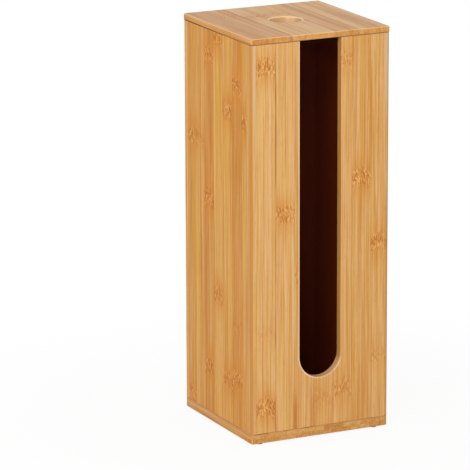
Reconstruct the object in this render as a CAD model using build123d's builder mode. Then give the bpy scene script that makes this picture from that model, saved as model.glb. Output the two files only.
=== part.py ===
"""Bamboo stand for spare toilet rolls: a tall box on small feet, with a slotted front and a loose lid.

Millimetres. +Z is up and the slotted front faces -Y. The origin is on the floor, under the middle of the box.
"""
from build123d import *
from math import radians, tan
import os

# Overall size: the height runs from the floor to the top of the lid, and the lid is flush with the walls
overall_height = 405.0
overall_width = 150.0
overall_depth = 150.0

# Boards of glued bamboo strips
wall_thickness = 9.0
base_thickness = 9.5
lid_thickness = 6.0

# Roundings left by the sander
corner_radius = 3.0
board_arris = 0.5
lid_corner_radius = 1.5
lid_top_arris = 1.2

# Slot in the front panel: open at the top, with a half-round foot
slot_width = 45.0
slot_foot_above_base = 50.0
slot_outer_arris = 1.2
slot_inner_arris = 1.0

# Finger hole through the middle of the lid and its inset plate
finger_hole_diameter = 32.0
finger_hole_top_arris = 1.5
finger_hole_under_arris = 0.8

# Inset plate glued under the lid, which drops into the box
inset_thickness = 6.0
inset_corner_radius = 2.0
inset_lead_in = 1.5
lid_clearance = 1.0

# Dowels in the four upright corner joints
dowel_diameter = 5.0
dowel_in_end_panel = 6.0
dowel_in_side_panel = 15.0
dowel_rows = 3
dowel_end_margin = 60.0
dowel_end_gap = 0.5
dowel_clearance = 0.1
dowel_chamfer = 0.5

# Countersunk screws that hold the base plate to the walls from below
screw_diameter = 3.0
screw_length = 25.0
screw_head_diameter = 5.6
screw_head_rim = 0.2
screw_head_angle = 90.0
screw_point = 3.0
screw_recess = 0.2
screw_clearance = 0.1
screw_end_gap = 1.0
screw_spacing = 96.0
drive_width = 0.8
drive_span = 3.0
drive_depth = 1.0

# Rubber feet stuck under the base plate
foot_diameter = 8.0
foot_height = 2.2
foot_side_inset = 12.0
foot_front_inset = 8.0
foot_taper = 0.5
foot_arris = 0.4

# Levels and faces that the boards share
base_top = foot_height + base_thickness
rim = overall_height - lid_thickness
panel_height = rim - base_top
inner_half_width = overall_width / 2 - wall_thickness
inner_half_depth = overall_depth / 2 - wall_thickness
wall_centre_x = overall_width / 2 - wall_thickness / 2
wall_centre_y = overall_depth / 2 - wall_thickness / 2
slot_centre_height = base_top + slot_foot_above_base + slot_width / 2

# Two places nearer than this count as one when edges are picked
hairline = 0.01

# Dowels stand in one column in each corner joint, evenly spaced between the end margins
dowel_mid_height = (base_top + rim) / 2
dowel_pitch = (panel_height - 2 * dowel_end_margin) / (dowel_rows - 1)
dowel_hole_radius = dowel_diameter / 2 + dowel_clearance
dowel_length = dowel_in_end_panel + dowel_in_side_panel
dowel_places = [(row - (dowel_rows - 1) / 2) * dowel_pitch for row in range(dowel_rows)]

# Screws stand in pairs, one pair in each wall
screw_head_slope = tan(radians(screw_head_angle / 2))
screw_head_cone = (screw_head_diameter - screw_diameter) / 2 / screw_head_slope
screw_hole_radius = screw_diameter / 2 + screw_clearance
screw_sink_rise = (screw_head_rim + screw_recess) * screw_head_slope
screw_sink_radius = screw_head_diameter / 2 + screw_sink_rise + 2 * screw_clearance
screw_pilot_depth = screw_recess + screw_length - base_thickness + screw_end_gap
screw_places = (-screw_spacing / 2, screw_spacing / 2)
all_screws = [(place, end * wall_centre_y) for place in screw_places for end in (-1, 1)]
all_screws += [(side * wall_centre_x, place) for place in screw_places for side in (-1, 1)]

os.makedirs("parts", exist_ok=True)


def finish(piece, name):
    """Name a finished piece and write it out."""
    piece.label = name
    export_step(piece, f"parts/{name}.step")


def downward(height):
    """The level plane at a height, seen from below, with X kept and Y turned over."""
    return Plane(origin=(0, 0, height), x_dir=(1, 0, 0), z_dir=(0, 0, -1))


def upright(y, direction):
    """The plane square to Y at the dowels' mid height, with its normal towards -Y (-1) or +Y (1)."""
    return Plane(origin=(0, y, dowel_mid_height), x_dir=(1, 0, 0), z_dir=(0, direction, 0))


def edges_at(piece, axis, place):
    """The edges of a piece that lie wholly in the plane square to an axis at one place along it."""
    return piece.edges().filter_by_position(axis, place - hairline, place + hairline)


def is_finger_hole(edge):
    """True for the round edges of the finger hole, which all close on themselves."""
    return edge.geom_type == GeomType.CIRCLE and edge.is_closed


def slot_edges(board, face_y):
    """The slot's edges in one face of the front panel: its two straight sides and its half-round foot."""
    near_slot = edges_at(board, Axis.Y, face_y).filter_by(
        lambda edge: abs(edge.center().X) < slot_width / 2 + hairline
    )
    return near_slot.filter_by(lambda edge: edge.center().Z > base_top + hairline)


def rim_edges(board, side):
    """The level edges on the outer side of an end panel, at its top and at its foot."""
    level = edges_at(board, Axis.Z, rim) + edges_at(board, Axis.Z, base_top)
    return level.filter_by(lambda edge: abs(edge.center().Y - side * overall_depth / 2) < hairline)


# Front panel: a full-width board whose long edges show on the sides of the box. The slot runs down from its
# top edge, and its arris is rolled over in one line from the rim round the half-round foot.
with BuildPart() as front_panel:
    with BuildSketch(Plane.XY.offset(base_top)):
        with Locations((0, -wall_centre_y)):
            front_plan = Rectangle(overall_width, wall_thickness)
        fillet(front_plan.vertices().sort_by(Axis.Y)[:2], radius=corner_radius)
    extrude(amount=panel_height)
    with BuildSketch(Plane.XZ.offset(overall_depth / 2)):
        with Locations((0, slot_centre_height)):
            Circle(slot_width / 2)
            Rectangle(slot_width, rim - slot_centre_height, align=(Align.CENTER, Align.MIN))
    extrude(amount=-wall_thickness, mode=Mode.SUBTRACT)
    fillet(slot_edges(front_panel, -overall_depth / 2), radius=slot_outer_arris)
    fillet(slot_edges(front_panel, -inner_half_depth), radius=slot_inner_arris)
    fillet(rim_edges(front_panel, -1), radius=board_arris)
    with Locations(upright(-inner_half_depth, 1)):
        with GridLocations(2 * wall_centre_x, dowel_pitch, 2, dowel_rows):
            Hole(dowel_hole_radius, depth=dowel_in_end_panel + dowel_end_gap)
    with Locations(downward(base_top)):
        with Locations(*[(x, wall_centre_y) for x in screw_places]):
            Hole(screw_hole_radius, depth=screw_pilot_depth)
finish(front_panel.part, "front_panel")

# Back panel: the same board with no slot
with BuildPart() as back_panel:
    with BuildSketch(Plane.XY.offset(base_top)):
        with Locations((0, wall_centre_y)):
            back_plan = Rectangle(overall_width, wall_thickness)
        fillet(back_plan.vertices().sort_by(Axis.Y)[-2:], radius=corner_radius)
    extrude(amount=panel_height)
    fillet(rim_edges(back_panel, 1), radius=board_arris)
    with Locations(upright(inner_half_depth, -1)):
        with GridLocations(2 * wall_centre_x, dowel_pitch, 2, dowel_rows):
            Hole(dowel_hole_radius, depth=dowel_in_end_panel + dowel_end_gap)
    with Locations(downward(base_top)):
        with Locations(*[(x, -wall_centre_y) for x in screw_places]):
            Hole(screw_hole_radius, depth=screw_pilot_depth)
finish(back_panel.part, "back_panel")

# Side panels: they stand between the front and the back, with dowel holes in their upright edges
for side, name in ((-1, "left_panel"), (1, "right_panel")):
    with BuildPart() as side_panel:
        with BuildSketch(Plane.XY.offset(base_top)):
            with Locations((side * wall_centre_x, 0)):
                Rectangle(wall_thickness, 2 * inner_half_depth)
        extrude(amount=panel_height)
        outer_face = side_panel.faces().sort_by(Axis.X)[0 if side < 0 else -1]
        fillet(outer_face.edges().filter_by(Axis.Y), radius=board_arris)
        for end in (-1, 1):
            with Locations(upright(end * inner_half_depth, end)):
                with Locations(*[(side * wall_centre_x, height) for height in dowel_places]):
                    Hole(dowel_hole_radius, depth=dowel_in_side_panel + dowel_end_gap)
        with Locations(downward(base_top)):
            with Locations(*[(side * wall_centre_x, y) for y in screw_places]):
                Hole(screw_hole_radius, depth=screw_pilot_depth)
    finish(side_panel.part, name)

# Base plate: flush with the walls that stand on it, and countersunk from below for its screws
with BuildPart() as base_plate:
    with BuildSketch(Plane.XY.offset(foot_height)):
        RectangleRounded(overall_width, overall_depth, corner_radius)
    extrude(amount=base_thickness)
    chamfer(edges_at(base_plate, Axis.Z, base_top), length=board_arris)
    chamfer(edges_at(base_plate, Axis.Z, foot_height), length=board_arris)
    with Locations(downward(foot_height)):
        with Locations(*all_screws):
            CounterSinkHole(screw_hole_radius, screw_sink_radius, counter_sink_angle=screw_head_angle)
finish(base_plate.part, "base_plate")

# Lid: a thin board that lies loose on the rim, with a finger hole whose top arris is well rounded
with BuildPart() as lid_plate:
    with BuildSketch(Plane.XY.offset(rim)):
        RectangleRounded(overall_width, overall_depth, lid_corner_radius)
        Circle(finger_hole_diameter / 2, mode=Mode.SUBTRACT)
    extrude(amount=lid_thickness)
    lid_top_edges = edges_at(lid_plate, Axis.Z, overall_height)
    lid_under_edges = edges_at(lid_plate, Axis.Z, rim)
    fillet(lid_top_edges.filter_by(is_finger_hole), radius=finger_hole_top_arris)
    fillet(lid_top_edges.filter_by(is_finger_hole, reverse=True), radius=lid_top_arris)
    chamfer(lid_under_edges.filter_by(is_finger_hole, reverse=True), length=board_arris)
finish(lid_plate.part, "lid_plate")

# Inset plate: glued under the lid with the same finger hole, it drops into the box and keeps the lid in place
with BuildPart() as lid_inset:
    with BuildSketch(Plane.XY.offset(rim)):
        RectangleRounded(
            2 * (inner_half_width - lid_clearance),
            2 * (inner_half_depth - lid_clearance),
            inset_corner_radius,
        )
        Circle(finger_hole_diameter / 2, mode=Mode.SUBTRACT)
    extrude(amount=-inset_thickness)
    inset_under_edges = edges_at(lid_inset, Axis.Z, rim - inset_thickness)
    chamfer(inset_under_edges.filter_by(is_finger_hole), length=finger_hole_under_arris)
    chamfer(inset_under_edges.filter_by(is_finger_hole, reverse=True), length=inset_lead_in)
finish(lid_inset.part, "lid_inset")

# Corner dowels: each joins the inner face of an end panel to the upright edge of a side panel
with BuildPart() as corner_dowels:
    for end in (-1, 1):
        with BuildSketch(upright(end * (inner_half_depth + dowel_in_end_panel), -end)):
            with Locations(*[(side * wall_centre_x, height) for side in (-1, 1) for height in dowel_places]):
                Circle(dowel_diameter / 2)
        extrude(amount=dowel_length)
    chamfer(corner_dowels.edges().filter_by(GeomType.CIRCLE), length=dowel_chamfer)
finish(corner_dowels.part, "corner_dowels")

# Base screws: countersunk heads with a cross recess, just below the underside of the base plate
with BuildPart() as screw:
    with BuildSketch(Plane.XZ):
        with BuildLine():
            Polyline(
                (0, 0),
                (screw_head_diameter / 2, 0),
                (screw_head_diameter / 2, screw_head_rim),
                (screw_diameter / 2, screw_head_rim + screw_head_cone),
                (screw_diameter / 2, screw_length - screw_point),
                (0, screw_length),
                close=True,
            )
        make_face()
    revolve(axis=Axis.Z)
    with BuildSketch(Plane.XY):
        Rectangle(drive_span, drive_width)
        Rectangle(drive_width, drive_span)
    extrude(amount=drive_depth, mode=Mode.SUBTRACT)

with BuildPart() as base_screws:
    with Locations(Plane.XY.offset(foot_height + screw_recess)):
        with Locations(*all_screws):
            add(screw.part)
finish(base_screws.part, "base_screws")

# Feet: turned rubber pads, a little narrower where they meet the floor
for side, side_name in ((-1, "left"), (1, "right")):
    for end, end_name in ((-1, "front"), (1, "back")):
        foot_x = side * (overall_width / 2 - foot_side_inset)
        foot_y = end * (overall_depth / 2 - foot_front_inset)
        with BuildPart() as foot:
            with BuildSketch(Plane.XY):
                with Locations((foot_x, foot_y)):
                    Circle(foot_diameter / 2 - foot_taper)
            with BuildSketch(Plane.XY.offset(foot_height)):
                with Locations((foot_x, foot_y)):
                    Circle(foot_diameter / 2)
            loft()
            chamfer(edges_at(foot, Axis.Z, 0), length=foot_arris)
        finish(foot.part, f"foot_{end_name}_{side_name}")
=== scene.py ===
"""Bamboo stand for spare toilet rolls: the finish of every board and fitting, on a pale studio floor."""
import math

import bpy
import numpy as np
from mathutils import Matrix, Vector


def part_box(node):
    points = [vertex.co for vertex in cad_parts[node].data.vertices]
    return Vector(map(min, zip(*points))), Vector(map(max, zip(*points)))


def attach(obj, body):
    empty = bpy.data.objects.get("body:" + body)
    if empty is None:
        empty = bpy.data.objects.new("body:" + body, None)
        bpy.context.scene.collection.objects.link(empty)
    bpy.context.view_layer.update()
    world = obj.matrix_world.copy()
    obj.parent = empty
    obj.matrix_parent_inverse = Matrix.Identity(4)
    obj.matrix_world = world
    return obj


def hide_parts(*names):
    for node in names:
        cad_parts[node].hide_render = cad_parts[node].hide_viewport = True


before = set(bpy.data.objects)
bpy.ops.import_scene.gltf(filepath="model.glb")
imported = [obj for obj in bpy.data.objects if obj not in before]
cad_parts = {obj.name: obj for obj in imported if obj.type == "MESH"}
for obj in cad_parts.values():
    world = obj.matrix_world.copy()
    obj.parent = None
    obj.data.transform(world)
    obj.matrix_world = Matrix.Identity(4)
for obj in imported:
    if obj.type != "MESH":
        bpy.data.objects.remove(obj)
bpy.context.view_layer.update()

# Base plate
# Bamboo strips glued edge to edge in two layers, with their fibres running from front to back. The plate is
# sanded, given a satin lacquer and eased along its edges, and carries the four walls.
X, Y, Z = range(3)


class Shade:
    """A socket of a material. Arithmetic on it adds Math nodes, and node() adds a node of any other kind."""

    def __init__(self, socket):
        self.socket = socket
        self.tree = socket.id_data

    def node(self, kind, settings, inputs, output=0):
        """Add a node: its settings first, then the values or links of its sockets. Gives one output."""
        made = self.tree.nodes.new("ShaderNode" + kind)
        for name, value in settings.items():
            if name == "stops":
                ramp = made.color_ramp
                while len(ramp.elements) < len(value):
                    ramp.elements.new(1.0)
                for element, (position, colour) in zip(ramp.elements, value):
                    element.position = position
                    element.color = colour
                ramp.interpolation = "CONSTANT"
            else:
                setattr(made, name, value)
        for name, value in inputs.items():
            if isinstance(value, Shade):
                self.tree.links.new(value.socket, made.inputs[name])
            else:
                made.inputs[name].default_value = value
        return Shade(made.outputs[output])

    def out(self, name):
        """Another output of the node that this socket belongs to."""
        return Shade(self.socket.node.outputs[name])

    def feed(self, shader, name):
        """Link this socket to an input of a shader."""
        self.tree.links.new(self.socket, shader.inputs[name])

    def maths(self, operation, *terms):
        """Add a Math node on numbers or sockets."""
        return self.node("Math", {"operation": operation}, dict(enumerate(terms)))

    def __add__(self, other):
        return self.maths("ADD", self, other)

    def __radd__(self, other):
        return self.maths("ADD", other, self)

    def __sub__(self, other):
        return self.maths("SUBTRACT", self, other)

    def __rsub__(self, other):
        return self.maths("SUBTRACT", other, self)

    def __mul__(self, other):
        return self.maths("MULTIPLY", self, other)

    def __rmul__(self, other):
        return self.maths("MULTIPLY", other, self)

    def __truediv__(self, other):
        return self.maths("DIVIDE", self, other)

    def __pow__(self, other):
        return self.maths("POWER", self, other)

    def __lt__(self, other):
        return self.maths("LESS_THAN", self, other)

    def __gt__(self, other):
        return self.maths("GREATER_THAN", self, other)

    def __abs__(self):
        return self.maths("ABSOLUTE", self)

    def larger(self, other):
        """The larger of this value and another."""
        return self.maths("MAXIMUM", self, other)

    def smaller(self, other):
        """The smaller of this value and another."""
        return self.maths("MINIMUM", self, other)

    def floor(self):
        """The whole number below."""
        return self.maths("FLOOR", self)

    def rise(self, low, high):
        """0 at low and 1 at high, with a smooth step between them."""
        return self.node(
            "MapRange",
            {"interpolation_type": "SMOOTHSTEP"},
            {"Value": self, "From Min": low, "From Max": high},
        )

    def vector(self, y, z):
        """A vector whose X is this socket."""
        return self.node("CombineXYZ", {}, {"X": self, "Y": y, "Z": z})

    def noise(self, detail, distortion=0.0):
        """Smooth noise from 0 to 1 at a vector, one unit to a grain."""
        inputs = {"Vector": self, "Scale": 1.0, "Detail": detail, "Distortion": distortion}
        return self.node("TexNoise", {}, inputs)

    def between(self, first, second, blend="MIX"):
        """The colour this far from the first to the second."""
        settings = {"data_type": "RGBA", "blend_type": blend}
        return self.node("Mix", settings, {0: self, 6: first, 7: second}, output=2)

    def row(self, colours):
        """Look this whole number up in a row of colours."""
        stops = [(number / len(colours), colour) for number, colour in enumerate(colours)]
        lookup = (self + 0.5) / len(colours)
        return lookup.node("ValToRGB", {"stops": stops}, {"Fac": lookup})

    def parts(self):
        """The three parts of a vector or a colour."""
        split = self.node("SeparateXYZ", {}, {"Vector": self})
        return [split.out(axis) for axis in "XYZ"]


def paint(red, green, blue):
    """The linear colour of three 0 to 255 values: each share is taken to the power 2.2."""
    return (*((np.array([red, green, blue]) / 255.0) ** 2.2).tolist(), 1.0)


MILLIMETRES = 1000.0
SURFACE_IOR = 1.45


def new_material(name, roughness):
    """A material, its shader, its place in millimetres and its surface normal, each as X, Y and Z."""
    material = bpy.data.materials.new(name)
    material.use_nodes = True
    nodes = material.node_tree.nodes
    shader = nodes["Principled BSDF"]
    shader.inputs["Roughness"].default_value = roughness
    shader.inputs["IOR"].default_value = SURFACE_IOR
    here = Shade(shader.outputs[0]).node("TexCoord", {}, {}, output="Object")
    place = [part * MILLIMETRES for part in here.parts()]
    return material, shader, place, here.out("Normal").parts()


KNUCKLES = 3
KNUCKLE_LOW = -250.0
KNUCKLE_SPAN = 1000.0


def nearest_knuckle(strip, along, strips):
    """The distance along a strip to the nearest of its knuckles, and how strong that one is.

    A strip holds up to three knuckles, as their place along it and their strength. A place is looked up as a
    share of the span, because a row of colours holds nothing below 0.
    """
    ring = KNUCKLE_SPAN
    strength = 0.0
    for turn in range(KNUCKLES):
        knuckles = [(marks + [(0.0, 0.0)] * KNUCKLES)[turn] for tone, marks in strips]
        facts = [((height - KNUCKLE_LOW) / KNUCKLE_SPAN, power, 0.0, 1.0) for height, power in knuckles]
        height, power = strip.row(facts).parts()[:2]
        distance = along - (height * KNUCKLE_SPAN + KNUCKLE_LOW)
        nearer = (abs(distance) < abs(ring)) * (power > 0.01)
        ring = ring + (distance - ring) * nearer
        strength = strength + (power - strength) * nearer
    return ring, strength


GLOW_REACH = 34.0
FLAME_REACH = 34.0
FLAME_LEAST = 2.0
CURL_REACH = 13.0
RING_SWAY = 9.0


def knuckle_marks(across, ring, strength, ply):
    """The mark of a knuckle, from the distance along the strip to its ring: glow, flames, curls and flecks.

    A flame is a fibre that darkens towards the ring, over a reach that noise gives it. A curl or a fleck is
    where twisted noise close to the ring runs high or low.
    """
    sway = (across / 6.0).vector(ply, 4.0).noise(1.0) * RING_SWAY - RING_SWAY / 2.0
    ring = ring + sway
    side = (ring > 0.0) * 9.0
    flame_noise = (across / 1.5).vector(ring / 80.0, ply + side).noise(0.0)
    reach = flame_noise.rise(0.38, 0.78) * FLAME_REACH + FLAME_LEAST
    flame = (1.0 - abs(ring) / reach).rise(0.0, 1.0) * strength
    curl_noise = (across / 1.35).vector(ring / 4.0, ply + 31.0).noise(1.0, distortion=0.7)
    close = (1.0 - abs(ring) / CURL_REACH).rise(0.0, 0.7) * strength
    curl = curl_noise.rise(0.52, 0.63) * close
    fleck = (1.0 - curl_noise.rise(0.35, 0.47)) * close
    glow = (1.0 - abs(ring) / GLOW_REACH).rise(0.0, 1.0) * strength
    return glow, flame, curl, fleck


PALE_FIBRE = (244, 208, 150)
DARK_FIBRE = (184, 114, 42)
VESSEL = (146, 88, 36)
PINKISH = (240, 186, 136)
GOLD_FILTER = (1.0, 0.97, 0.62, 1.0)
KNUCKLE_GLOW = (208, 132, 40)
KNUCKLE_FLAME = (194, 118, 30)
KNUCKLE_FLECK = (248, 200, 128)
KNUCKLE_CURL = (170, 90, 12)
SEAM_GLUE = (154, 88, 28)
LAYER_GLUE = (160, 98, 40)
CUT_END = (196, 128, 78)
FIBRE_BUNDLE = (128, 72, 34)
SANDED_ARRIS_AND_HIGHLIGHT = (246, 208, 158)
LAYER_SHIFT = 0.43
RING_BOW = 12.0
GLUE_REACH = 0.35
BUNDLE_SIZE = 0.85
JOINT_REACH = 0.9
KNUCKLE_STEP = 13.0
OUTER_FACE = (73.6, 74.6)


def bamboo(name, lie, run, outer, inward, strips, seams, first_seam, strip_width=20.8, ply=4.5, seed=0.0,
           amber=(202, 136, 60), straw=(227, 180, 116), blush=0.20, gold=0.75, patch=2.6, bands=0.4,
           lines=1.2, crisp=1.0, burn=1.0, flecks=0.5, seam_width=1.0, pale_edge_highlight=0.30, end_grain=1.0,
           joints=(), tints=(), roughness=0.42, specular=0.5):
    """Strips side by side along axis lie, in layers from the outer face inwards, with fibres along axis run.

    Each strip of the row has a tone (0 amber, 1 straw) and up to three knuckles, and each seam its strength.
    The fibres are noise drawn out along the strip, in bands, lines and fine fibres. A patch is how wide the
    golden and the pinkish stretches are, and burn says how dark the fibres are round the knuckles. A joint
    is a level with a colour and a function that says how strong it is on the board's outer edge there: a dark
    line in the groove, which is painted shade, with dust at the base. A tint is a colour with a function that
    says where it goes; many of the tints are painted shade and painted highlights.
    """
    material, shader, place, facing = new_material(name, roughness)
    shader.inputs["Specular IOR Level"].default_value = specular
    through_axis = X + Y + Z - lie - run
    along = place[run]
    through = place[through_axis]
    depth = (through - outer) * inward + 0.02
    layer = (depth / ply).floor()
    under = layer > 0.5
    across = place[lie] + layer * strip_width * LAYER_SHIFT

    # Each strip of each layer has its own draw, and so has each knuckle. A ring bows a little on its strip.
    count = (across - first_seam) / strip_width
    strip = count.floor()
    share = count - strip - 0.5
    chance_seed = strip * 1.37 + layer * 5.21 + seed
    chance = chance_seed.node("TexWhiteNoise", {"noise_dimensions": "1D"}, {"W": chance_seed})
    row_tone = strip.row([(tone, tone, tone, 1.0) for tone, marks in strips]).parts()[0]
    tone = row_tone + (chance - row_tone) * under
    ring, strength = nearest_knuckle(strip, along, strips)
    knuckle_seed = (along - ring) / KNUCKLE_STEP
    ring = ring + share * share * RING_BOW - 1.0
    strength = strength * (1.0 - under)
    slide = along + chance * 4000.0
    deep = chance * 40.0

    def grain(width, length, thickness, detail, shift=deep):
        """Noise in grains this wide, long and thick, in millimetres, that lie along the strip."""
        return (across / width).vector(slide / length, through / thickness + shift).noise(detail)

    band = grain(width=7.0, length=260.0, thickness=9.0, detail=1.0)
    streak = grain(width=1.7, length=130.0, thickness=2.5, detail=2.0)
    fine = grain(width=0.95, length=150.0, thickness=1.5, detail=0.0)
    hue = grain(width=patch, length=110.0, thickness=3.0, detail=1.5, shift=0.0 - deep)
    fibre = grain(width=0.8, length=55.0, thickness=0.8, detail=2.0)
    vessel = grain(width=0.45, length=11.0, thickness=0.45, detail=1.0)
    glow, flame, curl, fleck = knuckle_marks(across, ring, strength, deep + knuckle_seed)

    end = abs(facing[run]).rise(0.6, 0.9)
    crisp = crisp * (1.0 - end * 0.8)
    lit_lines = (streak - 0.5) * lines + (fine - 0.5) * lines
    straw_share = (tone * 0.6 + 0.2 + (band - 0.5) * bands + lit_lines).rise(-0.2, 1.2)
    colour = straw_share.between(paint(*amber), paint(*straw))
    colour = (hue.rise(0.50, 0.72) * blush).between(colour, paint(*PINKISH))
    golden = 1.0 - hue.rise(0.34, 0.54)
    colour = (golden * gold).between(colour, GOLD_FILTER, "MULTIPLY")
    colour = ((1.0 - fibre.rise(0.27, 0.48)) * 0.45 * crisp).between(colour, paint(*DARK_FIBRE))
    colour = (fibre.rise(0.55, 0.75) * 0.36 * crisp).between(colour, paint(*PALE_FIBRE))
    colour = ((1.0 - vessel.rise(0.26, 0.36)) * 0.35 * crisp).between(colour, paint(*VESSEL))

    colour = (glow * 0.48 * burn).between(colour, paint(*KNUCKLE_GLOW))
    colour = (flame * 0.60 * burn).between(colour, paint(*KNUCKLE_FLAME))
    colour = (fleck * flecks).between(colour, paint(*KNUCKLE_FLECK))
    colour = (curl * 0.80).between(colour, paint(*KNUCKLE_CURL))

    # A seam is a thin dark line that fades in and out, and a glue line shows where two layers meet.
    seam_number = (count + 0.5).floor()
    seam_power = seam_number.row([(dark, dark, dark, 1.0) for dark in seams]).parts()[0]
    seam_power = seam_power + (0.5 - seam_power) * under
    seam_gap = abs(count - seam_number) * strip_width
    broken = (seam_number * 3.7).vector(along / 45.0, seed).noise(1.0).rise(0.36, 0.60)
    seam = (1.0 - seam_gap / seam_width).rise(0.0, 0.8) * seam_power * (0.35 + broken * 0.65)
    glue_gap = abs(depth - ply * (depth / ply + 0.5).floor())
    glue_line = (1.0 - glue_gap / GLUE_REACH).rise(0.0, 1.0) * (depth > 0.5)
    colour = (seam * 0.7).between(colour, paint(*SEAM_GLUE))
    colour = (glue_line * 0.35).between(colour, paint(*LAYER_GLUE))

    # Where the fibres are cut across, the ends of their bundles show as dark dots.
    end = end * end_grain
    bundle_place = (across / BUNDLE_SIZE).vector(through / BUNDLE_SIZE, seed)
    bundle = bundle_place.node("TexVoronoi", {}, {"Vector": bundle_place, "Scale": 1.0})
    dot = (1.0 - bundle.rise(0.12, 0.42)) * end
    colour = (end * 0.18).between(colour, paint(*CUT_END))
    colour = (dot * 0.42).between(colour, paint(*FIBRE_BUNDLE))

    # The rounded arrises are sanded pale, and the level ones get a painted highlight on top.
    flat = abs(facing[through_axis])
    rolled = flat.rise(0.10, 0.45) * (1.0 - flat.rise(0.86, 0.99))
    level_edge = abs(facing[Z]).rise(0.15, 0.5)
    colour = (rolled * (0.06 + level_edge * pale_edge_highlight)).between(colour, paint(*SANDED_ARRIS_AND_HIGHLIGHT))
    # The tints come last: some are painted shade and painted highlights, others the wood's own colour.
    for tint, where in tints:
        colour = where(place, facing).between(colour, paint(*tint))
    outmost = abs(place[X]).larger(abs(place[Y])).rise(*OUTER_FACE)
    # Each joint is a dark line painted along the groove at its level, on the outer edge: painted shade.
    for joint, joint_colour, strength in joints:
        gap = (1.0 - abs(place[Z] - joint) / JOINT_REACH).rise(0.0, 0.8) * outmost
        colour = (gap * strength(place)).between(colour, paint(*joint_colour))

    colour.feed(shader, "Base Color")
    rough = roughness + (fibre - 0.5) * 0.2 * crisp + curl * 0.1 + end * 0.15 - rolled * 0.08
    rough.feed(shader, "Roughness")
    pores = (fibre * 0.5 + vessel * 0.3) * crisp
    height = pores - curl * 0.1 - seam * 0.5 - glue_line * 0.6 - dot * 0.4
    bump = height.node("Bump", {}, {"Strength": 0.35, "Distance": 0.00012, "Height": height})
    bump.feed(shader, "Normal")
    return material


SEAMS = 9
FIRST_SEAM = -90.6
PLATE_REACH = (-75.0, 75.0)
FIRST_KNUCKLE = (-60.0, 230.0)
KNUCKLE_GAP = (230.0, 320.0)


def random_strips(seed, lowest, highest):
    """A row of strips for a board that the photograph doesn't show.

    Each strip has a drawn tone. Its first knuckle lies at a drawn height over the lowest, and the others
    follow at a drawn distance, as far as the highest.
    """
    chance = np.random.default_rng(seed)
    strips = []
    for tone, start, pitch, power in chance.random((SEAMS, 4)):
        first = lowest + np.interp(start, (0.0, 1.0), FIRST_KNUCKLE)
        heights = first + np.interp(pitch, (0.0, 1.0), KNUCKLE_GAP) * np.arange(KNUCKLES)
        shown = [(float(height), 0.5 + 0.5 * power) for height in heights if lowest < height < highest]
        strips.append((0.2 + 0.6 * float(tone), shown))
    return strips


def dress(node, material):
    """Give a CAD node its material."""
    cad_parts[node].material_slots[0].material = material


def corners(box):
    """The lowest and the highest corner of a box, in millimetres."""
    return [np.array(end) * MILLIMETRES for end in box]


# The faces turned to the chamber are painted a deep red brown: painted shade for the dark inside of the
# closed box.
CHAMBER_SHADE = (104, 22, 2)
CHAMBER_HALF = 66.2
INSIDE_SHADE = 0.92


def base_inside_shade(place, facing):
    """Painted shade on the floor of the chamber: the top of the base plate, within the walls."""
    within = (abs(place[X]) < CHAMBER_HALF) * (abs(place[Y]) < CHAMBER_HALF)
    return facing[Z].rise(0.6, 0.9) * within * INSIDE_SHADE


def base_line_dust_and_shade(place):
    """How strong the dark line at the joint between the base plate and the walls is, dust and painted shade
    in the groove: thin, and stronger in places.
    """
    uneven = (place[X] / 18.0).vector(place[Y] / 18.0, 1.0).noise(1.0)
    return 0.45 + uneven.rise(0.42, 0.66) * 0.35


base_low, base_high = corners(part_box("base_plate"))
# A dark line painted along the groove over the base plate: partly dust, partly painted shade.
base_joint_dust_and_shade = (base_high[Z], (150, 84, 22), base_line_dust_and_shade)
dress("base_plate", bamboo(
    "base_bamboo", X, Y, outer=base_low[Z], inward=1.0, ply=4.75, seed=3.0, joints=[base_joint_dust_and_shade],
    tints=[(CHAMBER_SHADE, base_inside_shade)], strips=random_strips(3, *PLATE_REACH), seams=[0.5] * SEAMS,
    first_seam=FIRST_SEAM, amber=(182, 116, 44), straw=(216, 169, 102), end_grain=0.15, pale_edge_highlight=0.45,
    specular=0.35,
))

# Feet
# Four small pads of dark rubber, moulded with a dished face that grips the floor, and stuck under the base
# plate near its corners.
FOOT_STEPS = 48
DISH_DEPTH = 0.3
DISH_EDGE = 0.68
LIP_HEIGHT = 0.35
SHARP_ANGLE = 38.0


def rings_round(radius, rise, angle):
    """Rings about Z: each point is carried out to its radius and up to its rise, at its angle."""
    radius, rise, angle = np.broadcast_arrays(radius, rise, angle)
    return np.stack([radius * np.cos(angle), radius * np.sin(angle), rise], axis=-1)


def closed_rings(rings, first, last):
    """Points, four-sided faces and end fans of a closed skin over rings of points.

    Each ring joins the next step by step round, and a first and a last point close the two ends.
    """
    count, steps = rings.shape[:2]
    points = np.concatenate([rings.reshape(-1, 3), [first], [last]])
    index = np.arange(count * steps).reshape(count, steps)
    ahead = np.roll(index, -1, axis=1)
    quads = np.stack([index[:-1], ahead[:-1], ahead[1:], index[1:]], axis=-1).reshape(-1, 4)
    first_fan = np.stack([np.full(steps, count * steps), ahead[0], index[0]], axis=-1)
    last_fan = np.stack([np.full(steps, count * steps + 1), index[-1], ahead[-1]], axis=-1)
    return points, quads, np.concatenate([first_fan, last_fan])


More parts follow.
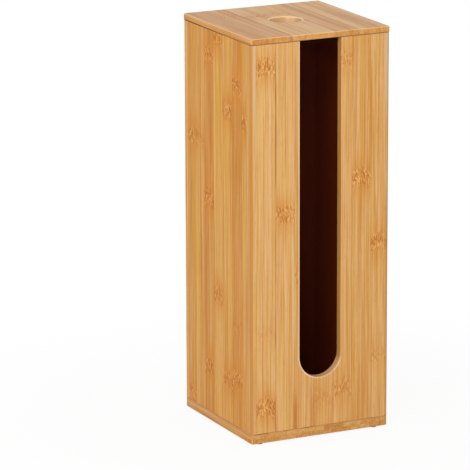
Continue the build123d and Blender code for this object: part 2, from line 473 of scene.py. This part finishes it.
def copies(name, shape, places, body, node, material):
    """Put a copy of a shape, in millimetres, at each place, as one piece that stands for a CAD node."""
    points, quads, fans = shape
    places = np.asarray(places, float)
    shift = (np.arange(len(places)) * len(points))[:, None, None]
    all_points = (points[None] + places[:, None]).reshape(-1, 3) / MILLIMETRES
    all_faces = (quads + shift).reshape(-1, 4).tolist() + (fans + shift).reshape(-1, 3).tolist()
    mesh = bpy.data.meshes.new(name)
    mesh.from_pydata(all_points.tolist(), [], all_faces)
    mesh.shade_smooth()
    mesh.set_sharp_from_angle(angle=math.radians(SHARP_ANGLE))
    mesh.materials.append(material)
    piece = bpy.data.objects.new(name, mesh)
    bpy.context.scene.collection.objects.link(piece)
    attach(piece, body)
    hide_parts(node)


def grains(place, size):
    """The place counted in grains of this size, for noise that is alike in every direction."""
    return (place[X] / size).vector(place[Y] / size, place[Z] / size)


def rubber():
    """Dark rubber, matt, with a fine pebble from the mould and a little dust."""
    material, shader, place = new_material("foot_rubber", 0.75)[:3]
    pebble = grains(place, 0.25).noise(2.0)
    dust = grains(place, 2.2).noise(2.0)
    colour = (dust.rise(0.5, 0.8) * 0.35).between(paint(38, 34, 32), paint(92, 84, 76))
    colour = (pebble.rise(0.55, 0.8) * 0.4).between(colour, paint(58, 52, 48))
    colour.feed(shader, "Base Color")
    rough = 0.62 + dust * 0.25
    rough.feed(shader, "Roughness")
    bump = pebble.node("Bump", {}, {"Strength": 0.5, "Distance": 0.0001, "Height": pebble})
    bump.feed(shader, "Normal")
    return material


# The profile goes out through the dish, over the rolled lip and up the flank to the face that is stuck on.
# Its radii are shares of the foot's radius, and the flank's rises are shares of its height.
foot_rubber = rubber()
foot_angle = np.arange(FOOT_STEPS) * (2.0 * np.pi / FOOT_STEPS)
dish = np.linspace(0.25, 0.62, 5)
roll = np.linspace(0.0, np.pi / 2.0, 7)
flank_radii = [0.93, 0.97, 0.995, 1.0, 1.0, 0.5]
flank_rises = np.array([0.5, 0.72, 0.76, 0.8, 1.0, 1.0])
for corner in ("front_left", "front_right", "back_left", "back_right"):
    low, high = corners(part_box(f"foot_{corner}"))
    middle = (low + high) / 2.0
    foot_radius = (high[X] - low[X]) / 2.0
    foot_height = high[Z] - low[Z]
    radii = foot_radius * np.concatenate([dish, 0.72 + 0.16 * np.sin(roll), flank_radii])
    rises = np.concatenate([
        DISH_DEPTH * (1.0 - (dish / DISH_EDGE) ** 4),
        LIP_HEIGHT * (1.0 - np.cos(roll)),
        foot_height * flank_rises,
    ])
    rings = rings_round(radii[:, None], rises[:, None], foot_angle)
    pad = closed_rings(rings, (0, 0, DISH_DEPTH), (0, 0, foot_height))
    copies(f"foot_{corner}_pad", pad, [(middle[X], middle[Y], low[Z])], "box", f"foot_{corner}",
           foot_rubber)

# Side walls
# The two side boards stand between the end boards. Each is glued up from upright bamboo strips in two layers,
# and its long edges are hidden behind the front and the back board.
SIDE_SEAM = -75.1
WALL_REACH = (0.0, 400.0)
RIM_SHADE = (366.0, 396.0)
# A lighter, redder copy of the chamber's painted shade, for the right wall's inner face, where light comes in
# through the slot.
CHAMBER_SHADE_LIT = (118, 30, 3)


def rim_shadow_line(place):
    """How strong the painted shadow in the gap under the lid is: lighter at the front and stronger towards
    the back.
    """
    return 0.58 + place[Y].rise(-40.0, 55.0) * 0.42


def wall_inside_shade(axis, sign):
    """Painted shade on the face of a wall that is turned to the chamber, fading out near the rim."""
    def mask(place, facing):
        return (facing[axis] * sign).rise(0.5, 0.9) * (1.0 - place[Z].rise(*RIM_SHADE)) * INSIDE_SHADE
    return mask


left_strips = [
    (0.75, [(322.0, 1.0)]),
    (0.05, [(354.0, 1.0), (60.0, 1.0), (113.0, 0.4)]),
    (0.80, [(327.0, 1.0), (56.0, 0.9)]),
    (0.95, [(394.0, 0.8), (137.0, 0.8)]),
    (0.15, [(230.5, 1.0), (373.0, 0.9), (58.0, 1.0)]),
    (0.65, [(288.0, 0.5)]),
    (0.35, [(285.5, 1.0), (20.0, 0.6)]),
]
left_low, left_high = corners(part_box("left_panel"))
# A dark line painted along the gap under the lid: painted shadow.
rim_shadow_joint = (left_high[Z], (100, 40, 0), rim_shadow_line)
wall_joints = [base_joint_dust_and_shade, rim_shadow_joint]
dress("left_panel", bamboo(
    "left_bamboo", Y, Z, outer=left_low[X], inward=1.0, seed=5.0, joints=wall_joints,
    tints=[(CHAMBER_SHADE, wall_inside_shade(X, 1.0))], strips=left_strips, seams=[0.3] * SEAMS, first_seam=SIDE_SEAM,
    amber=(190, 116, 24), straw=(220, 167, 90), blush=0.06, gold=0.9, patch=7.0, bands=1.1, lines=0.9,
    crisp=1.1, burn=1.4, flecks=0.45, seam_width=1.4, roughness=0.5, specular=0.32,
))
dress("right_panel", bamboo(
    "right_bamboo", Y, Z, outer=-left_low[X], inward=-1.0, seed=8.0, joints=wall_joints,
    tints=[(CHAMBER_SHADE_LIT, wall_inside_shade(X, -1.0))], strips=random_strips(8, *WALL_REACH),
    seams=[0.3] * SEAMS, first_seam=SIDE_SEAM,
))

# Front board
# A full-width board with a slot cut down from its top edge to a half-round foot. The slot's arris is rolled
# over with a router and sanded, and a painted highlight lays a pale line along it all the way round.
SLOT_RADIUS = 22.5
SLOT_CENTRE = 84.2
SLOT_SHARE = 24.0
SLOT_CUT_AND_SHADE = (170, 108, 52)
SLOT_FOOT_CUT = (222, 178, 140)
ARRIS_HIGHLIGHT = (255, 222, 176)
CORNER_HIGHLIGHT = (216, 188, 150)
CORNER_SHADE = (182, 119, 32)
STAIN = (184, 114, 38)
EDGE_SIDE = (72.3, 73.7)
EDGE_FRONT = (-72.6, -69.4)
HIGHLIGHT_SIDE = (69.0, 70.8)
HIGHLIGHT_TOP = (290.0, 365.0)
STAIN_TOP = (30.0, 66.0)


def slot_wall_cut_and_shade(place, facing):
    """The upright cut walls of the slot, darker partly as raw cut and partly as painted shade in the slot."""
    upright = (1.0 - abs(facing[Y]).rise(0.05, 0.3)) * (1.0 - facing[Z].rise(0.1, 0.6))
    return (abs(place[X]) < SLOT_SHARE) * upright * 0.35


def slot_foot(place, facing):
    """The half-round foot of the slot, where the cut goes across the fibres."""
    return (abs(place[X]) < SLOT_SHARE) * facing[Z].rise(0.1, 0.6) * (place[Z] < SLOT_CENTRE) * 0.55


def slot_arris_highlight(place, facing):
    """A painted highlight round the slot, at a distance from its outline, stronger on the left side."""
    drop = (place[Z] - SLOT_CENTRE).smaller(0.0)
    distance = (place[X] ** 2.0 + drop ** 2.0) ** 0.5 - SLOT_RADIUS
    line = distance.rise(-0.2, 0.3) * (1.0 - distance.rise(1.0, 1.9))
    return line * (facing[Y] < -0.15) * (0.80 - place[X].rise(-22.0, 6.0) * 0.76)


def corner_shade(place, facing):
    """Painted shade on the rounded long edges of the board."""
    return abs(place[X]).rise(*EDGE_SIDE) * (1.0 - place[Y].rise(*EDGE_FRONT)) * 0.78


def corner_highlight(place, facing):
    """A painted highlight: a pale strip beside those edges, at the top of the board."""
    return abs(place[X]).rise(*HIGHLIGHT_SIDE) * facing[Y].rise(-0.5, -0.9) * place[Z].rise(*HIGHLIGHT_TOP) * 0.50


def low_stain(place, facing):
    """Two stretches of darker strip near the foot of the board."""
    first = (1.0 - abs(place[X] + 27.5) / 3.5).rise(0.0, 0.7)
    second = (1.0 - abs(place[X] + 8.5) / 4.0).rise(0.0, 0.7)
    broken = (place[X] / 1.2).vector(place[Z] / 40.0, 7.0).noise(1.0).rise(0.3, 0.6)
    return (first + second * 0.7) * (1.0 - place[Z].rise(*STAIN_TOP)) * (0.35 + broken * 0.45)


front_strips = [
    (0.65, []),
    (0.70, [(375.5, 0.9), (38.0, 1.0), (113.0, 0.2)]),
    (0.62, [(229.0, 0.85)]),
    (0.45, [(168.0, 0.5)]),
    (0.50, [(40.0, 0.3)]),
    (0.45, [(47.0, 0.6), (377.0, 0.5)]),
    (0.25, [(258.0, 1.0)]),
    (0.42, [(190.5, 0.8), (75.0, 0.35)]),
]
front_seams = [0.2, 0.2, 1.0, 0.4, 0.6, 0.2, 0.3, 0.2, 0.2]
dress("front_panel", bamboo(
    "front_bamboo", X, Z, outer=base_low[Y], inward=1.0, joints=wall_joints, tints=[
        (CHAMBER_SHADE, wall_inside_shade(Y, 1.0)), (SLOT_CUT_AND_SHADE, slot_wall_cut_and_shade), (SLOT_FOOT_CUT, slot_foot),
        (ARRIS_HIGHLIGHT, slot_arris_highlight), (CORNER_HIGHLIGHT, corner_highlight), (CORNER_SHADE, corner_shade),
        (STAIN, low_stain),
    ],
    strips=front_strips, seams=front_seams, first_seam=FIRST_SEAM, amber=(200, 135, 59),
    straw=(225, 179, 117),
))

# Back board
# The same full-width board as the front, with no slot. It is glued and dowelled to the edges of the two side
# boards.
dress("back_panel", bamboo(
    "back_bamboo", X, Z, outer=base_high[Y], inward=-1.0, seed=11.0, joints=wall_joints,
    tints=[(CHAMBER_SHADE, wall_inside_shade(Y, -1.0))], strips=random_strips(11, *WALL_REACH), seams=[0.3] * SEAMS,
    first_seam=FIRST_SEAM,
))

# Corner dowels
# Twelve fluted beech dowels, three in each upright joint, glued into the end boards and the edges of the
# sides. The flutes let the glue out of the hole as the dowel is driven in.
DOWEL_RADIUS = 2.5
DOWEL_LENGTH = 21.0
DOWEL_CHAMFER = 0.5
DOWEL_BAND = 1.5
DOWEL_ROWS = 3
FLUTES = 14
FLUTE_DEPTH = 0.22
FLUTE_STEPS = 6


def beech():
    """Sanded beech: pale and fine, with short dark flecks along the grain, which runs along Y."""
    material, shader, place, facing = new_material("dowel_beech", 0.6)
    fibre = (place[X] / 0.5).vector(place[Y] / 12.0, place[Z] / 0.5).noise(2.0)
    fleck = (place[X] / 0.22).vector(place[Y] / 1.6, place[Z] / 0.22).noise(0.0)
    colour = fibre.rise(0.3, 0.7).between(paint(198, 158, 118), paint(222, 188, 148))
    colour = (fleck.rise(0.62, 0.74) * 0.6).between(colour, paint(150, 104, 68))
    colour = (abs(facing[Y]).rise(0.7, 0.95) * 0.35).between(colour, paint(160, 118, 80))
    colour.feed(shader, "Base Color")
    rough = 0.55 + fibre * 0.15
    rough.feed(shader, "Roughness")
    bump = fibre.node("Bump", {}, {"Strength": 0.3, "Distance": 0.0001, "Height": fibre})
    bump.feed(shader, "Normal")
    return material


# Each ring round the dowel is drawn in by the flutes, and by the chamfer at both ends.
low, high = corners(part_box("corner_dowels"))
dowel_angle = np.arange(FLUTES * FLUTE_STEPS) * (2.0 * np.pi / (FLUTES * FLUTE_STEPS))
flute = FLUTE_DEPTH * (0.5 - 0.5 * np.cos(FLUTES * dowel_angle)) ** 2
ends = np.array([0.0, DOWEL_CHAMFER, DOWEL_BAND])
rise = np.concatenate([ends, DOWEL_LENGTH - ends[::-1]])[:, None]
chamfer = np.array([DOWEL_CHAMFER, 0.0, 0.0, 0.0, 0.0, DOWEL_CHAMFER])[:, None]
rings = rings_round(DOWEL_RADIUS - chamfer - flute, rise, dowel_angle)
points, quads, fans = closed_rings(rings, (0, 0, 0), (0, 0, DOWEL_LENGTH))
lying = points[:, [X, Z, Y]] * (1, 1, -1)
near = np.array([low[X] + DOWEL_RADIUS, high[X] - DOWEL_RADIUS])
front_and_back = np.array([low[Y], high[Y] - DOWEL_LENGTH])
levels = np.linspace(low[Z] + DOWEL_RADIUS, high[Z] - DOWEL_RADIUS, DOWEL_ROWS)
places = np.stack(np.meshgrid(near, front_and_back, levels), axis=-1).reshape(-1, 3)
copies("fluted_dowels", (lying, quads, fans), places, "box", "corner_dowels", beech())

# Base screws
# Eight zinc-plated wood screws, two into each wall from below. Their countersunk heads, with a cross recess,
# lie just under the face of the base plate.
HEAD_RADIUS = 2.8
HEAD_RIM = 0.2
HEAD_CHAMFER = 0.06
SHANK_RADIUS = 1.5
NECK_RADIUS = 1.2
NECK_TAPER = 0.4
CORE_RADIUS = 1.0
NECK_END = 7.0
SCREW_LENGTH = 25.0
SCREW_POINT = 3.0
THREAD_PITCH = 1.4
THREAD_RINGS = 9
THREAD_SHARE = 0.30
THREAD_ROUND = 0.8
SCREW_STEPS = 36
RECESS_ARM = 1.55
RECESS_END = 0.9
RECESS_DEPTH = 1.1
RECESS_HALF_WIDTH = 0.42
RECESS_SLOPE = 0.14
SCREW_SPACING = 96.0


def zinc():
    """Bright zinc plating with faint blue and straw clouds."""
    material, shader, place = new_material("screw_zinc", 0.32)[:3]
    shader.inputs["Metallic"].default_value = 1.0
    cloud = grains(place, 1.4).noise(3.0)
    turning = grains(place, 0.12).noise(1.0)
    colour = cloud.rise(0.35, 0.7).between(paint(186, 190, 198), paint(206, 202, 188))
    colour.feed(shader, "Base Color")
    rough = 0.26 + cloud * 0.16
    rough.feed(shader, "Roughness")
    bump = turning.node("Bump", {}, {"Strength": 0.2, "Distance": 0.00003, "Height": turning})
    bump.feed(shader, "Normal")
    return material


# The face is a disc that rises into the head where the cross is. The thread's crest is where the turn that a
# point lies on, less its share of a turn round the shank, is near a half.
screw_angle = np.arange(SCREW_STEPS) * (2.0 * np.pi / SCREW_STEPS)
face_radius = np.append(np.linspace(0.15, 1.8, 12), HEAD_RADIUS - HEAD_CHAMFER)[:, None]
face_x = abs(face_radius * np.cos(screw_angle))
face_y = abs(face_radius * np.sin(screw_angle))
in_arm = np.clip((RECESS_HALF_WIDTH - np.minimum(face_x, face_y)) / RECESS_SLOPE, 0.0, 1.0)
along_arm = np.clip((RECESS_ARM - face_radius) / RECESS_END, 0.0, 1.0) ** 0.6
face = rings_round(face_radius, RECESS_DEPTH * in_arm * along_arm, screw_angle)
head_end = HEAD_RIM + HEAD_RADIUS - SHANK_RADIUS
head_radius = np.array([HEAD_RADIUS, HEAD_RADIUS, SHANK_RADIUS, NECK_RADIUS, NECK_RADIUS])[:, None]
head_rise = np.array([HEAD_CHAMFER, HEAD_RIM, head_end, head_end + NECK_TAPER, NECK_END - 0.6])[:, None]
head = rings_round(head_radius, head_rise, screw_angle)
thread_rise = np.arange(NECK_END, SCREW_LENGTH - 0.2, THREAD_PITCH / THREAD_RINGS)[:, None]
turn = thread_rise / THREAD_PITCH - screw_angle / (2.0 * np.pi)
crest = np.clip(1.0 - abs(turn - np.floor(turn) - 0.5) / THREAD_SHARE, 0.0, 1.0) ** THREAD_ROUND
taper = np.clip((SCREW_LENGTH - thread_rise) / SCREW_POINT, 0.0, 1.0) ** THREAD_ROUND
start = np.clip((thread_rise - NECK_END) / THREAD_PITCH, 0.0, 1.0)
thread_radius = (CORE_RADIUS + (SHANK_RADIUS - CORE_RADIUS) * crest * start) * taper
thread = rings_round(thread_radius, thread_rise, screw_angle)
screw = closed_rings(np.concatenate([face, head, thread]), (0, 0, RECESS_DEPTH), (0, 0, SCREW_LENGTH))

low, high = corners(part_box("base_screws"))
out_to_wall = high[X] - HEAD_RADIUS
half_spacing = SCREW_SPACING / 2.0
end_walls = [(x, y, low[Z]) for x in (-half_spacing, half_spacing) for y in (-out_to_wall, out_to_wall)]
side_walls = [(y, x, level) for x, y, level in end_walls]
copies("cross_head_screws", screw, end_walls + side_walls, "box", "base_screws", zinc())

# Lid
# A thin board that lies loose on the rim, with its fibres from front to back. A round finger hole goes
# through its middle, and its top arris and the hole's are well rounded.
LID_PLY = 6.1
LID_STRIP = 24.0
LID_SEAM = -104.0
HOLE_RADIUS = 16.0
HOLE_WALL_LIGHT = (250, 214, 168)
LID_EDGE_SHADE = (196, 126, 48)


def from_hole(place):
    """The distance from the finger hole's wall, outwards."""
    return (place[X] ** 2.0 + place[Y] ** 2.0) ** 0.5 - HOLE_RADIUS


def hole_wall_light(place, facing):
    """Painted light on the cut wall of the finger hole."""
    return (1.0 - from_hole(place).rise(0.2, 1.6)) * (1.0 - abs(facing[Z]).rise(0.3, 0.9)) * 0.6


def hole_arris_highlight(place, facing):
    """A painted highlight on the rolled arris round the top of the finger hole."""
    distance = from_hole(place)
    return distance.rise(0.1, 0.5) * (1.0 - distance.rise(1.3, 2.2)) * (facing[Z] > 0.25) * 0.55


def lid_edge_shade(place, facing):
    """Painted shade on the upright edges of the lid."""
    return abs(facing[X]).larger(abs(facing[Y])).rise(0.80, 0.97) * 0.35


lid_strips = [
    (0.15, []),
    (0.20, [(-30.0, 0.3)]),
    (0.40, [(40.0, 0.45)]),
    (0.65, [(25.0, 0.75)]),
    (0.80, [(30.0, 0.45)]),
    (0.45, [(-52.0, 0.25)]),
    (0.60, []),
    (0.70, []),
]
lid_seams = [0.3, 0.3, 0.55, 0.9, 0.2, 0.6, 0.3, 0.5, 0.3]
lid_low, lid_high = corners(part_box("lid_plate"))
dress("lid_plate", bamboo(
    "lid_bamboo", X, Y, outer=lid_high[Z], inward=-1.0, ply=LID_PLY, seed=21.0, joints=[rim_shadow_joint],
    tints=[(HOLE_WALL_LIGHT, hole_wall_light), (ARRIS_HIGHLIGHT, hole_arris_highlight), (LID_EDGE_SHADE, lid_edge_shade)],
    strips=lid_strips, seams=lid_seams, first_seam=LID_SEAM, strip_width=LID_STRIP, seam_width=2.2,
    amber=(186, 114, 30), straw=(229, 182, 120), blush=0.04, gold=0.9, patch=5.0, bands=1.5, lines=1.0,
    end_grain=0.12, pale_edge_highlight=0.5, specular=0.42,
))

# Inset plate
# A plain plate of the same bamboo, glued under the lid with the same hole. It drops in between the walls and
# keeps the lid in its place.
# The inset is painted dark brown, and darkest behind the slot: painted shade for the shadow under the lid.
INSET_SHADE = (104, 54, 20)
INSET_FRONT_SHADE = (34, 9, 2)


def inset_shade(place, facing):
    """Painted shade on everything but the wall of the finger hole."""
    return from_hole(place).rise(0.5, 2.0) * 0.80


def inset_front_shade(place, facing):
    """Deeper painted shade on the middle of the front edge, over the slot."""
    return place[Y].rise(-61.0, -64.0) * (1.0 - abs(place[X]).rise(22.0, 34.0)) * 0.95


dress("lid_inset", bamboo(
    "inset_bamboo", X, Y, outer=lid_low[Z], inward=-1.0, ply=LID_PLY, seed=27.0,
    tints=[(INSET_SHADE, inset_shade), (INSET_FRONT_SHADE, inset_front_shade), (HOLE_WALL_LIGHT, hole_wall_light)],
    strips=random_strips(27, *PLATE_REACH), seams=[0.3] * SEAMS, first_seam=LID_SEAM,
    strip_width=LID_STRIP, roughness=0.75, specular=0.0,
))

# Studio floor and surround
# A wide sheet of white paper that keeps a faint shadow, under an even pale sky that is a little brighter near
# the horizon.
FLOOR_REACH = 30.0
FLOOR_NEAR = 0.93
FLOOR_FADE = (150.0, 500.0)
SKY = 0.53
HORIZON = 0.41
HORIZON_TOP = 0.6

floor_mesh = bpy.data.meshes.new("floor")
floor_corners = [(x * FLOOR_REACH, y * FLOOR_REACH, 0.0) for x, y in ((-1, -1), (1, -1), (1, 1), (-1, 1))]
floor_mesh.from_pydata(floor_corners, [], [(0, 1, 2, 3)])
floor = bpy.data.objects.new("floor", floor_mesh)
bpy.context.scene.collection.objects.link(floor)

# The camera sees the paper almost white all over, and every other ray finds plain paper that takes light.
floor_paper, paper, place = new_material("floor_paper", 0.9)[:3]
paper.inputs["Base Color"].default_value = (0.9, 0.9, 0.9, 1.0)
paper.inputs["Specular IOR Level"].default_value = 0.0
diffuse = Shade(paper.outputs[0])
white = diffuse.node("Emission", {}, {})
ray = diffuse.node("LightPath", {}, {}, output="Is Camera Ray")
seen = ray.larger(ray.out("Is Transmission Ray"))
distance = (place[X] ** 2.0 + place[Y] ** 2.0) ** 0.5
glow = seen * (FLOOR_NEAR + (1.0 - FLOOR_NEAR) * distance.rise(*FLOOR_FADE))
both = glow.node("MixShader", {}, {0: glow, 1: diffuse, 2: white})
both.feed(floor_paper.node_tree.nodes["Material Output"], "Surface")
floor_mesh.materials.append(floor_paper)

world = bpy.data.worlds.new("studio")
bpy.context.scene.world = world
world.use_nodes = True
background = world.node_tree.nodes["Background"]
background.inputs["Color"].default_value = (1.0, 1.0, 1.0, 1.0)
surround = Shade(background.outputs[0])
level = surround.node("TexCoord", {}, {}, output="Generated").parts()[Z]
sky = SKY + HORIZON * (1.0 - level.rise(0.0, HORIZON_TOP))
ray = surround.node("LightPath", {}, {}, output="Is Camera Ray")
seen = ray.larger(ray.out("Is Glossy Ray").larger(ray.out("Is Transmission Ray")))
power = sky + (1.0 - sky) * seen
power.feed(background, "Strength")

# Studio light
# One large square softbox to the left of the camera and above it. It looks at the middle of the box and
# lights its left side and its front about alike.
AIM_HEIGHT = 0.2


def softbox(name, heading, height, away, size, watts):
    """A square soft light that looks at the middle of the box, from a heading to the left of the front."""
    light = bpy.data.lights.new(name, "AREA")
    light.shape = "SQUARE"
    light.size = size
    light.energy = watts
    lamp = bpy.data.objects.new(name, light)
    bpy.context.scene.collection.objects.link(lamp)
    lamp.matrix_world = (
        Matrix.Translation((0.0, 0.0, AIM_HEIGHT))
        @ Matrix.Rotation(-math.radians(heading), 4, "Z")
        @ Matrix.Rotation(math.radians(90.0 - height), 4, "X")
        @ Matrix.Translation((0.0, 0.0, away))
    )


softbox("left_front_softbox", heading=43.0, height=28.0, away=2.4, size=1.2, watts=28.3)

# Camera
# A long lens, about 3.8 m away, a little left of the slotted front and looking slightly down. Its place and
# its turn were solved from the box's corners in the photograph and its real size.
FOCAL_PIXELS = 3811.7
FRAME_PIXELS = 470.0
CAMERA_PLACE = (-1.6519, -3.2604, 1.1161)
CAMERA_TURN = -26.083
CAMERA_DROP = 14.246
CAMERA_ROLL = -0.189
CAMERA_REACH = 100.0
camera = bpy.data.objects.new("camera", bpy.data.cameras.new("camera"))
bpy.context.scene.collection.objects.link(camera)
camera.data.lens = FOCAL_PIXELS / FRAME_PIXELS * camera.data.sensor_width
camera.data.clip_end = CAMERA_REACH
camera.matrix_world = (
    Matrix.Translation(CAMERA_PLACE)
    @ Matrix.Rotation(math.radians(CAMERA_TURN), 4, "Z")
    @ Matrix.Rotation(math.radians(90.0 - CAMERA_DROP), 4, "X")
    @ Matrix.Rotation(math.radians(CAMERA_ROLL), 4, "Z")
)
bpy.context.scene.camera = camera
bpy.context.scene.view_settings.view_transform = "Standard"
